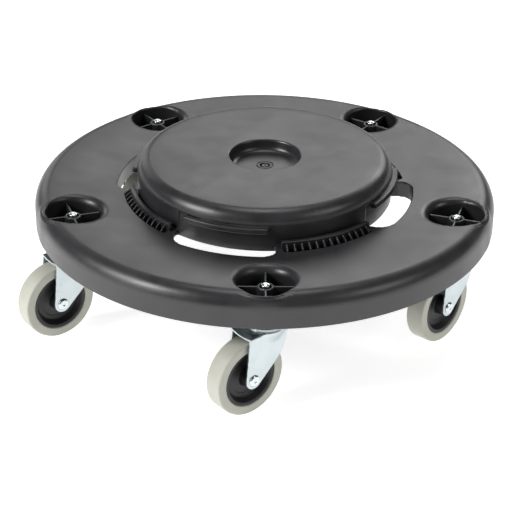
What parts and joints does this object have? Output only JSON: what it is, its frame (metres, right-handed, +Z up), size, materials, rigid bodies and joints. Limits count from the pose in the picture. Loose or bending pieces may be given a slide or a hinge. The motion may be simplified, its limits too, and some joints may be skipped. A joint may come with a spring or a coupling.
{
  "type": "rolling container dolly",
  "caption": "Round moulded rolling dolly with a raised central hub, bayonet lugs over arc slots, toothed rails and swivel casters set in wells near the rim.",
  "frame": {"origin": "on the floor, under the centre of the deck", "axes": "+Z up, -Y towards the caster at the front, +X to the right of it"},
  "size_m": [0.4758, 0.4762, 0.1626],
  "materials": {
    "deck_plastic": "charcoal moulded polyethylene with a fine grain, satin",
    "core_plastic": "black moulded polypropylene, satin",
    "tyre_rubber": "warm light grey thermoplastic rubber, satin",
    "zinc_plate": "bright zinc plated pressed steel",
    "zinc_bright": "bright zinc plated fastener",
    "race_steel": "dark plated pressed steel",
    "spring_steel": "oiled spring steel",
    "ball_steel": "polished bearing steel with grease"
  },
  "bodies": {
    "root": {"deck": "deck_plastic", "front_stem": "zinc_plate", "front_grip_ring": "spring_steel", "front_race_cup": "race_steel", "front_race_washer": "zinc_plate", "left_stem": "zinc_plate", "left_grip_ring": "spring_steel", "left_race_cup": "race_steel", "left_race_washer": "zinc_plate", "back_left_stem": "zinc_plate", "back_left_grip_ring": "spring_steel", "back_left_race_cup": "race_steel", "back_left_race_washer": "zinc_plate", "back_right_stem": "zinc_plate", "back_right_grip_ring": "spring_steel", "back_right_race_cup": "race_steel", "back_right_race_washer": "zinc_plate", "right_stem": "zinc_plate", "right_grip_ring": "spring_steel", "right_race_cup": "race_steel", "right_race_washer": "zinc_plate"},
    "front_swivel": {"front_fork": "zinc_plate", "front_bearing_balls": "ball_steel", "front_axle_bolt": "zinc_bright", "front_axle_sleeve": "zinc_plate", "front_axle_nut": "zinc_bright"},
    "front_wheel": {"front_wheel_core": "core_plastic", "front_tyre": "tyre_rubber"},
    "left_swivel": {"left_fork": "zinc_plate", "left_bearing_balls": "ball_steel", "left_axle_bolt": "zinc_bright", "left_axle_sleeve": "zinc_plate", "left_axle_nut": "zinc_bright"},
    "left_wheel": {"left_wheel_core": "core_plastic", "left_tyre": "tyre_rubber"},
    "back_left_swivel": {"back_left_fork": "zinc_plate", "back_left_bearing_balls": "ball_steel", "back_left_axle_bolt": "zinc_bright", "back_left_axle_sleeve": "zinc_plate", "back_left_axle_nut": "zinc_bright"},
    "back_left_wheel": {"back_left_wheel_core": "core_plastic", "back_left_tyre": "tyre_rubber"},
    "back_right_swivel": {"back_right_fork": "zinc_plate", "back_right_bearing_balls": "ball_steel", "back_right_axle_bolt": "zinc_bright", "back_right_axle_sleeve": "zinc_plate", "back_right_axle_nut": "zinc_bright"},
    "back_right_wheel": {"back_right_wheel_core": "core_plastic", "back_right_tyre": "tyre_rubber"},
    "right_swivel": {"right_fork": "zinc_plate", "right_bearing_balls": "ball_steel", "right_axle_bolt": "zinc_bright", "right_axle_sleeve": "zinc_plate", "right_axle_nut": "zinc_bright"},
    "right_wheel": {"right_wheel_core": "core_plastic", "right_tyre": "tyre_rubber"}
  },
  "joints": [
    {"name": "front_swivel_turn", "type": "hinge", "parent": "root", "child": "front_swivel", "pos_m": [0, -0.1985, 0.0886], "axis": [0, 0, 1], "continuous": true},
    {"name": "front_wheel_spin", "type": "hinge", "parent": "front_swivel", "child": "front_wheel", "pos_m": [-0.01865, -0.2136, 0.0381], "axis": [0.6293, -0.7771, 0], "continuous": true},
    {"name": "left_swivel_turn", "type": "hinge", "parent": "root", "child": "left_swivel", "pos_m": [-0.18879, -0.06134, 0.0886], "axis": [0, 0, 1], "continuous": true},
    {"name": "left_wheel_spin", "type": "hinge", "parent": "left_swivel", "child": "left_wheel", "pos_m": [-0.2082, -0.07545, 0.0381], "axis": [0.5878, -0.809, 0], "continuous": true},
    {"name": "back_left_swivel_turn", "type": "hinge", "parent": "root", "child": "back_left_swivel", "pos_m": [-0.11668, 0.16059, 0.0886], "axis": [0, 0, 1], "continuous": true},
    {"name": "back_left_wheel_spin", "type": "hinge", "parent": "back_left_swivel", "child": "back_left_wheel", "pos_m": [-0.13027, 0.14081, 0.0381], "axis": [0.8241, -0.5664, 0], "continuous": true},
    {"name": "back_right_swivel_turn", "type": "hinge", "parent": "root", "child": "back_right_swivel", "pos_m": [0.11668, 0.16059, 0.0886], "axis": [0, 0, 1], "continuous": true},
    {"name": "back_right_wheel_spin", "type": "hinge", "parent": "back_right_swivel", "child": "back_right_wheel", "pos_m": [0.09884, 0.14453, 0.0381], "axis": [0.6691, -0.7431, 0], "continuous": true},
    {"name": "right_swivel_turn", "type": "hinge", "parent": "root", "child": "right_swivel", "pos_m": [0.18879, -0.06134, 0.0886], "axis": [0, 0, 1], "continuous": true},
    {"name": "right_wheel_spin", "type": "hinge", "parent": "right_swivel", "child": "right_wheel", "pos_m": [0.17288, -0.07931, 0.0381], "axis": [0.749, -0.6626, 0], "continuous": true}
  ]
}
